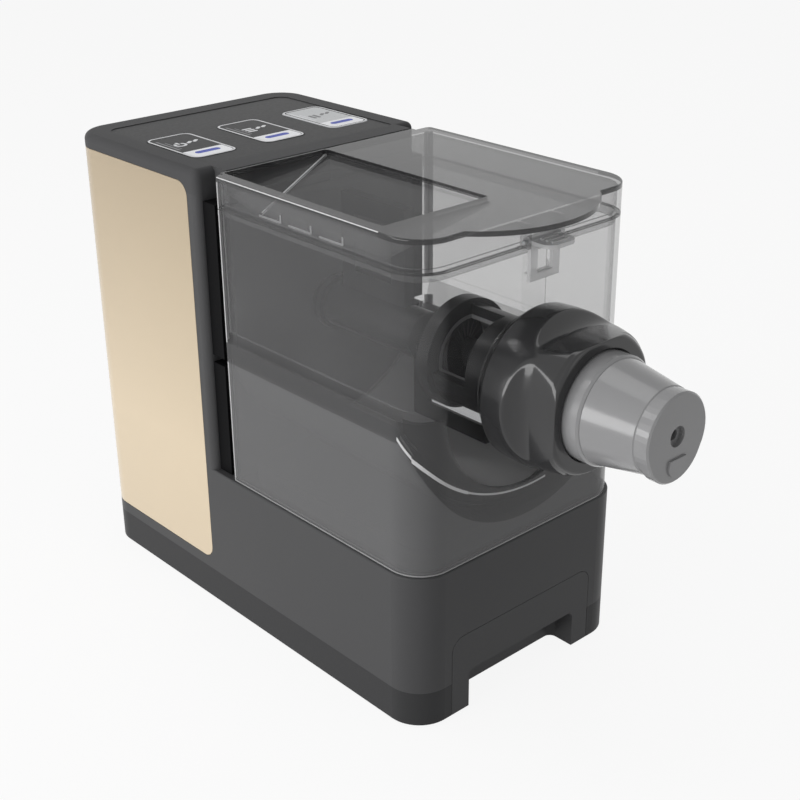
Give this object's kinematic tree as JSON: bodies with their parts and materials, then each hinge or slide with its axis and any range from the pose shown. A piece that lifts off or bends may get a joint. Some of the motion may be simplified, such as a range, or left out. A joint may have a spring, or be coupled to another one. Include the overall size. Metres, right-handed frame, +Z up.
{
  "type": "electric pasta maker",
  "caption": "Countertop electric pasta maker with a motor tower, clear kneading hopper, round extrusion nozzle with locking nut, latched lid, keys and a base drawer.",
  "frame": {"origin": "middle of the bounding box, on the surface that the feet stand on", "axes": "+Z up, the nozzle points along -Y, +X to the right seen from the front"},
  "size_m": [0.176, 0.434, 0.3],
  "materials": {
    "charcoal": "charcoal ABS, fine satin texture",
    "dark_trim": "near-black ABS",
    "panel_gloss": "dark gloss acrylic",
    "champagne": "champagne lacquer, glossy",
    "clear": "smoke-tinted clear polycarbonate",
    "black_pom": "black acetal",
    "grey_pom": "light grey acetal",
    "nut_gloss": "dark gloss ABS",
    "key_light_grey": "light grey ABS",
    "light_strip": "milky light strip",
    "steel": "stainless steel",
    "motor_metal": "zinc-plated can",
    "plate_metal": "cast aluminium",
    "nylon": "natural nylon",
    "brass_gear": "brass",
    "rubber": "black rubber",
    "circuit": "green circuit board"
  },
  "bodies": {
    "base": {"main_casing": "charcoal", "bottom_tray": "charcoal", "rubber_feet": "rubber", "top_cover": "charcoal", "control_panel": "panel_gloss", "side_panel_left": "champagne", "side_panel_right": "champagne", "rear_cover": "dark_trim", "power_inlet": "dark_trim", "cover_screws": "steel", "tray_screws": "steel", "hopper_hooks": "dark_trim", "control_board": "circuit", "power_board": "circuit", "gear_motor": "motor_metal", "gear_plate": "plate_metal", "plate_screws": "steel", "front_bearing": "steel", "rear_bearing": "steel", "shaft_seal": "rubber", "hopper": "clear", "extrusion_tube": "black_pom", "tube_bush": "grey_pom", "nozzle_seal": "rubber", "nozzle": "grey_pom", "nozzle_end_disc": "grey_pom"},
    "mixer": {"drive_shaft": "steel", "drive_gear": "nylon", "mixing_shaft": "black_pom", "auger": "black_pom", "front_blade": "black_pom", "scraper_bar": "steel", "rear_paddle": "black_pom"},
    "rotor": {"motor_shaft": "steel", "motor_pinion": "brass_gear", "cooling_fan": "dark_trim"},
    "lid_body": {"lid": "clear", "pour_tray": "clear", "latch_pin": "steel"},
    "latch_body": {"lid_latch": "clear"},
    "nut_body": {"locking_nut": "nut_gloss"},
    "drawer": {"drawer_front": "charcoal", "drawer_tray": "dark_trim"},
    "power_key_body": {"power_key": "panel_gloss", "power_light": "light_strip"},
    "menu_key_body": {"menu_key": "panel_gloss", "menu_light": "light_strip"},
    "start_key_body": {"start_key": "key_light_grey", "start_light": "light_strip"}
  },
  "joints": [
    {"name": "mixer_spin", "type": "hinge", "parent": "base", "child": "mixer", "pos_m": [0, 0, 0.2025], "axis": [0, 1, 0], "continuous": true},
    {"name": "rotor_spin", "type": "hinge", "parent": "base", "child": "rotor", "pos_m": [0, 0, 0.1425], "axis": [0, 1, 0], "continuous": true},
    {"name": "lid_lift", "type": "slide", "parent": "base", "child": "lid_body", "axis": [0, 0, 1], "range_m": [0, 0.06]},
    {"name": "latch_turn", "type": "hinge", "parent": "lid_body", "child": "latch_body", "pos_m": [0, -0.118, 0.286], "axis": [-1, 0, 0], "range_deg": [0, 25]},
    {"name": "nut_turn", "type": "hinge", "parent": "base", "child": "nut_body", "pos_m": [0, -0.141, 0.2025], "axis": [0, 1, 0], "range_deg": [0, 60]},
    {"name": "drawer_slide", "type": "slide", "parent": "base", "child": "drawer", "axis": [0, -1, 0], "range_m": [0, 0.12]},
    {"name": "power_key_press", "type": "slide", "parent": "base", "child": "power_key_body", "axis": [0, 0, -1], "range_m": [0, 0.0008], "stiffness_N_per_m": 400, "springref_m": -0.0005},
    {"name": "menu_key_press", "type": "slide", "parent": "base", "child": "menu_key_body", "axis": [0, 0, -1], "range_m": [0, 0.0008], "stiffness_N_per_m": 400, "springref_m": -0.0005},
    {"name": "start_key_press", "type": "slide", "parent": "base", "child": "start_key_body", "axis": [0, 0, -1], "range_m": [0, 0.0008], "stiffness_N_per_m": 400, "springref_m": -0.0005}
  ],
  "couplings": [
    {"joint": "rotor_spin", "follows": "mixer_spin", "ratio": -4}
  ]
}
